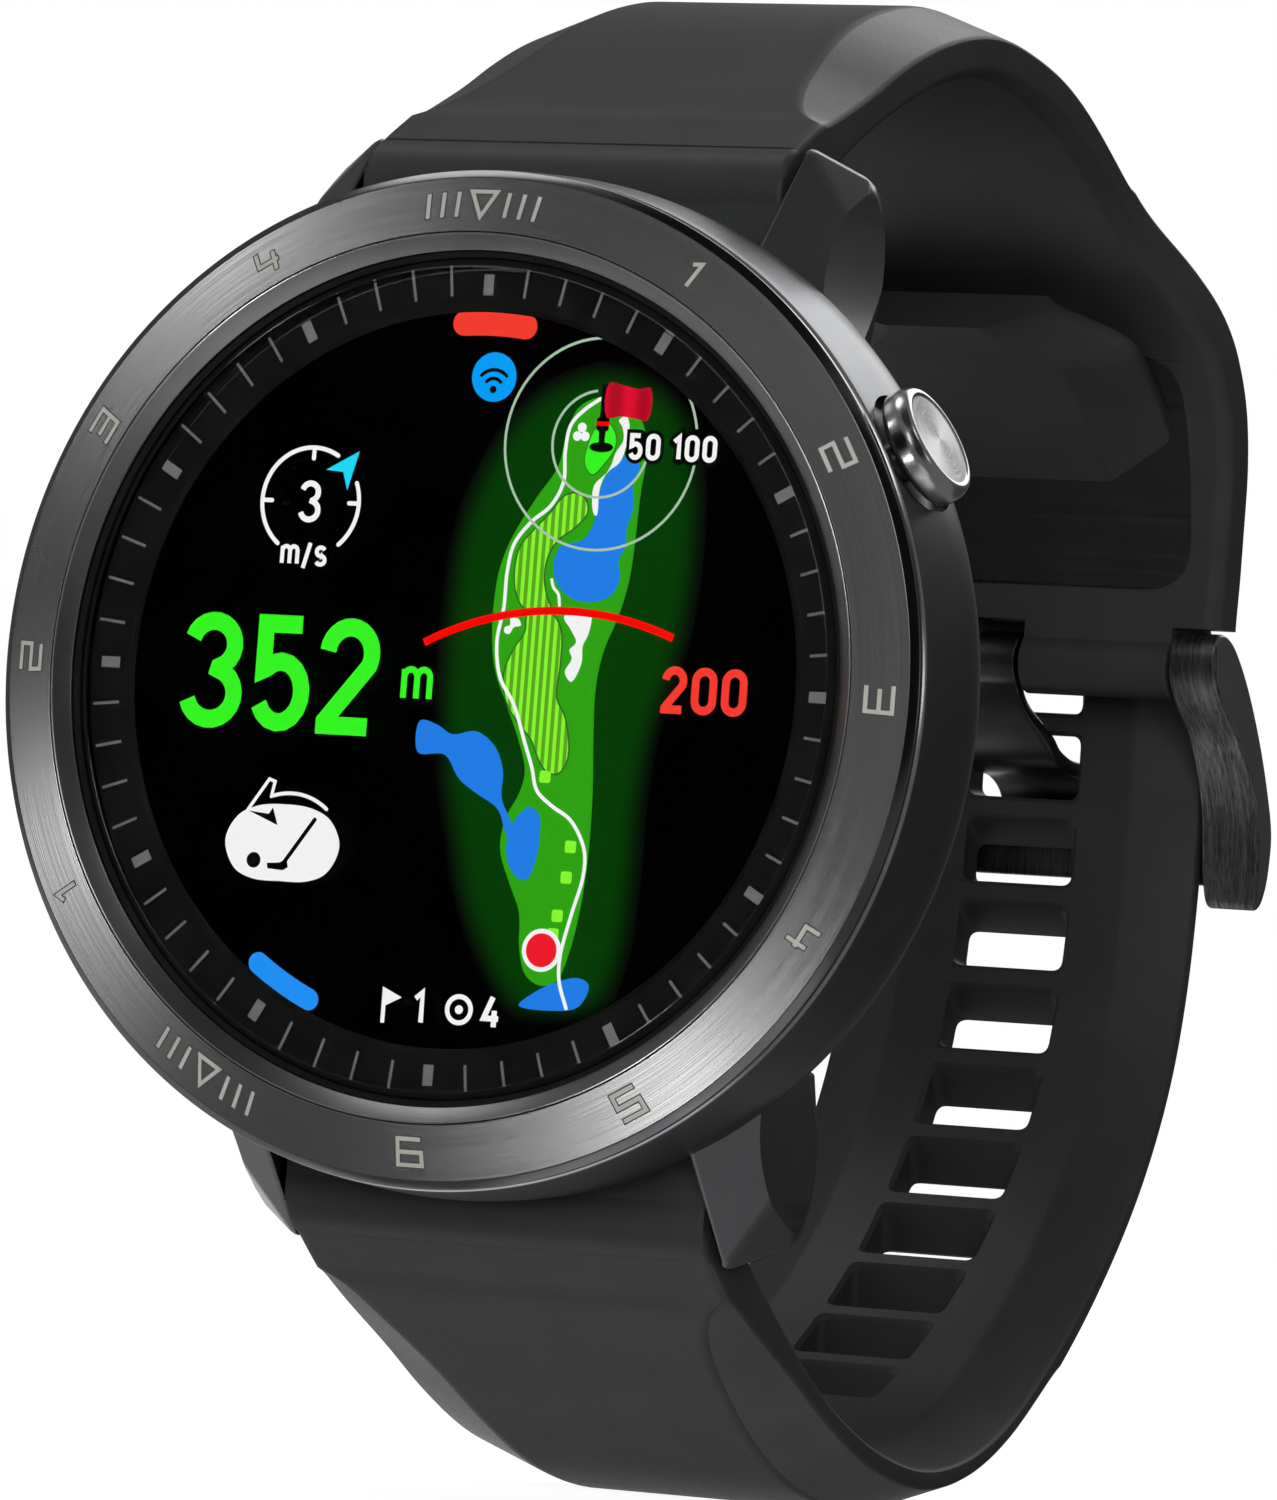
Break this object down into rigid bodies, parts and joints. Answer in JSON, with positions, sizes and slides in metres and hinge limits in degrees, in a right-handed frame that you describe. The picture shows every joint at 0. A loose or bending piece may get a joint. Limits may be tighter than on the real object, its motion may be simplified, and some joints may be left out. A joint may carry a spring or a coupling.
{
  "type": "golf gps watch",
  "caption": "Round sports watch with a brushed numbered bezel, colour display, side button and rubber strap fastened by a tuck-in pin buckle.",
  "frame": {"origin": "centre of the flat face of the case back, which rests on the wrist", "axes": "+Y out of the case back into the wrist, +Z towards 12 o'clock, +X towards 3 o'clock; the display faces -Y"},
  "size_m": [0.0472, 0.0718, 0.0724],
  "materials": {
    "case_metal": "satin dark grey coating",
    "brushed_steel": "circular brushed dark steel",
    "cover_glass": "polished flat glass",
    "seal_rubber": "matt black seal",
    "display_black": "black display glass",
    "inner_plastic": "moulded black plastic",
    "contact_gold": "gold plated",
    "circuit_board": "green solder mask",
    "battery_wrap": "silver pouch foil",
    "antenna_ceramic": "unglazed ceramic",
    "back_metal": "fine matt dark coating",
    "button_steel": "polished steel with spun face",
    "strap_rubber": "smooth matt silicone rubber",
    "buckle_metal": "dark brushed steel",
    "prong_metal": "satin dark steel"
  },
  "bodies": {
    "case": {"case_middle": "case_metal", "bezel": "brushed_steel", "cover_glass": "cover_glass", "back_cover": "back_metal", "spring_bar_upper": "button_steel", "spring_bar_lower": "button_steel", "glass_seal": "seal_rubber", "minute_ring": "display_black", "display_panel": "display_black", "chassis": "inner_plastic", "tact_switch": "contact_gold", "main_board": "circuit_board", "battery": "battery_wrap", "gps_antenna": "antenna_ceramic", "vibration_motor": "buckle_metal", "back_seal": "seal_rubber", "button_seal": "seal_rubber", "back_screw_1": "button_steel", "back_screw_2": "button_steel", "back_screw_3": "button_steel", "back_screw_4": "button_steel", "charge_pad_1": "contact_gold", "charge_pad_2": "contact_gold", "charge_pad_3": "contact_gold", "charge_pad_4": "contact_gold"},
    "button": {"button": "button_steel"},
    "strap_upper": {"strap_upper": "strap_rubber", "buckle_bar": "button_steel"},
    "strap_lower": {"strap_lower": "strap_rubber"},
    "buckle": {"buckle_frame": "buckle_metal"},
    "prong": {"buckle_prong": "prong_metal"}
  },
  "joints": [
    {"name": "button_press", "type": "slide", "parent": "case", "child": "button", "axis": [-0.8746, 0, -0.4848], "range_m": [0, 0.0005], "stiffness_N_per_m": 3000},
    {"name": "strap_upper_hinge", "type": "hinge", "parent": "case", "child": "strap_upper", "pos_m": [0, -0.0017, 0.0236], "axis": [1, 0, 0], "range_deg": [-0.25, 0.25], "stiffness_Nm_per_rad": 5},
    {"name": "strap_lower_hinge", "type": "hinge", "parent": "case", "child": "strap_lower", "pos_m": [0, -0.0017, -0.0236], "axis": [1, 0, 0], "range_deg": [-0.25, 0.25], "stiffness_Nm_per_rad": 5},
    {"name": "buckle_pivot", "type": "hinge", "parent": "strap_upper", "child": "buckle", "pos_m": [0, 0.0501, 0.006], "axis": [1, 0, 0], "range_deg": [0, 5]},
    {"name": "prong_pivot", "type": "hinge", "parent": "strap_upper", "child": "prong", "pos_m": [0, 0.0501, 0.006], "axis": [1, 0, 0], "range_deg": [0, 5]}
  ],
  "couplings": [
    {"joint": "strap_lower_hinge", "follows": "strap_upper_hinge", "ratio": -1},
    {"joint": "prong_pivot", "follows": "buckle_pivot", "ratio": 1}
  ]
}
